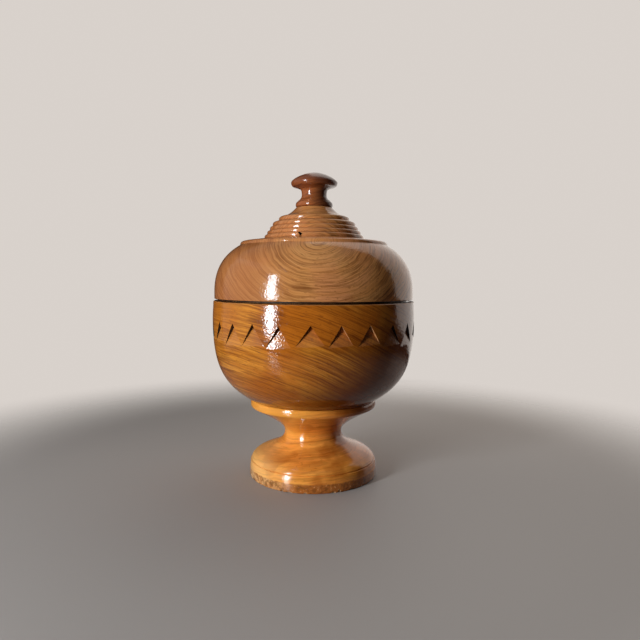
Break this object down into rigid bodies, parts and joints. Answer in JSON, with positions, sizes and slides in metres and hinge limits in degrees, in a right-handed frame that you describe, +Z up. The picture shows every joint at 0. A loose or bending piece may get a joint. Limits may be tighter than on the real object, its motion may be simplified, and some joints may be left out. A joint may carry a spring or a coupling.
{
  "type": "lidded bowl",
  "caption": "Turned wooden bowl on a waisted pedestal foot, with a chip-carved band of triangles and a loose domed lid with a stepped crown and mushroom knob.",
  "frame": {"origin": "centre of the foot's flat underside, on the surface that the bowl stands on", "axes": "+Z up along the turning axis, -Y towards the front, where the middle of one carved triangle lies"},
  "size_m": [0.15, 0.15, 0.2263],
  "materials": {
    "foot_wood": "gloss lacquer over honey-orange wood",
    "bowl_wood": "gloss lacquer over orange-brown wood with dark streaks",
    "lid_wood": "gloss lacquer over golden-brown wood with fine arched grain",
    "knob_wood": "gloss lacquer over dark red-brown wood"
  },
  "bodies": {
    "vessel": {"foot": "foot_wood", "bowl": "bowl_wood"},
    "cover": {"lid": "lid_wood", "knob": "knob_wood"}
  },
  "joints": [
    {"name": "lid_lift", "type": "slide", "parent": "vessel", "child": "cover", "axis": [0, 0, 1], "range_m": [0, 0.12]}
  ]
}
